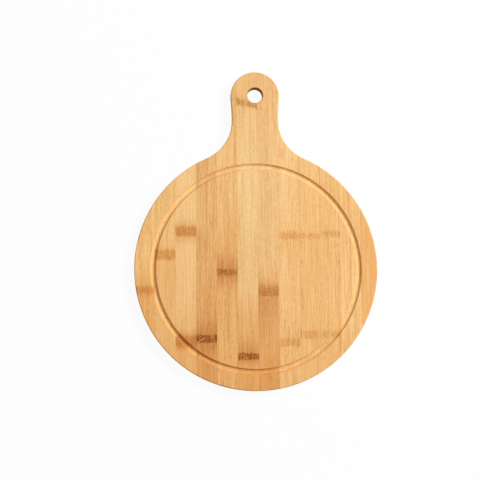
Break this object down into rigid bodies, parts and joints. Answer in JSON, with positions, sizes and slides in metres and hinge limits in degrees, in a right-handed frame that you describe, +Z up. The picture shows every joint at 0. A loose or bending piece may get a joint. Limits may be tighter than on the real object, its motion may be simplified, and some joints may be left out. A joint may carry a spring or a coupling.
{
  "type": "pizza serving board",
  "caption": "Round bamboo serving board with a short flared handle, a hanging hole and a ring groove near its rim, glued from crossed plies of flat strips.",
  "frame": {"origin": "centre of the round part, on the underside", "axes": "+Y from the round part's centre along the handle, +Z up out of the serving face, +X to the right"},
  "size_m": [0.25, 0.33, 0.012],
  "materials": {
    "bamboo_pale": "sanded and lightly oiled",
    "bamboo_honey": "sanded and lightly oiled",
    "bamboo_tan": "sanded and lightly oiled",
    "bamboo_warm": "sanded and lightly oiled"
  },
  "bodies": {
    "root": {"top_strip_01": "bamboo_honey", "top_strip_02": "bamboo_honey", "top_strip_03": "bamboo_pale", "top_strip_04": "bamboo_tan", "top_strip_05": "bamboo_tan", "top_strip_06": "bamboo_pale", "top_strip_07": "bamboo_honey", "top_strip_08": "bamboo_honey", "top_strip_09": "bamboo_honey", "top_strip_10": "bamboo_honey", "top_strip_11": "bamboo_honey", "top_strip_12": "bamboo_warm", "core_strip_01": "bamboo_honey", "core_strip_02": "bamboo_tan", "core_strip_03": "bamboo_pale", "core_strip_04": "bamboo_honey", "core_strip_05": "bamboo_warm", "core_strip_06": "bamboo_honey", "core_strip_07": "bamboo_tan", "core_strip_08": "bamboo_pale", "core_strip_09": "bamboo_honey", "core_strip_10": "bamboo_warm", "core_strip_11": "bamboo_honey", "core_strip_12": "bamboo_tan", "core_strip_13": "bamboo_pale", "core_strip_14": "bamboo_honey", "core_strip_15": "bamboo_warm", "core_strip_16": "bamboo_honey", "bottom_strip_01": "bamboo_honey", "bottom_strip_02": "bamboo_tan", "bottom_strip_03": "bamboo_honey", "bottom_strip_04": "bamboo_pale", "bottom_strip_05": "bamboo_warm", "bottom_strip_06": "bamboo_honey", "bottom_strip_07": "bamboo_tan", "bottom_strip_08": "bamboo_pale", "bottom_strip_09": "bamboo_honey", "bottom_strip_10": "bamboo_warm", "bottom_strip_11": "bamboo_honey", "bottom_strip_12": "bamboo_tan"}
  },
  "joints": []
}
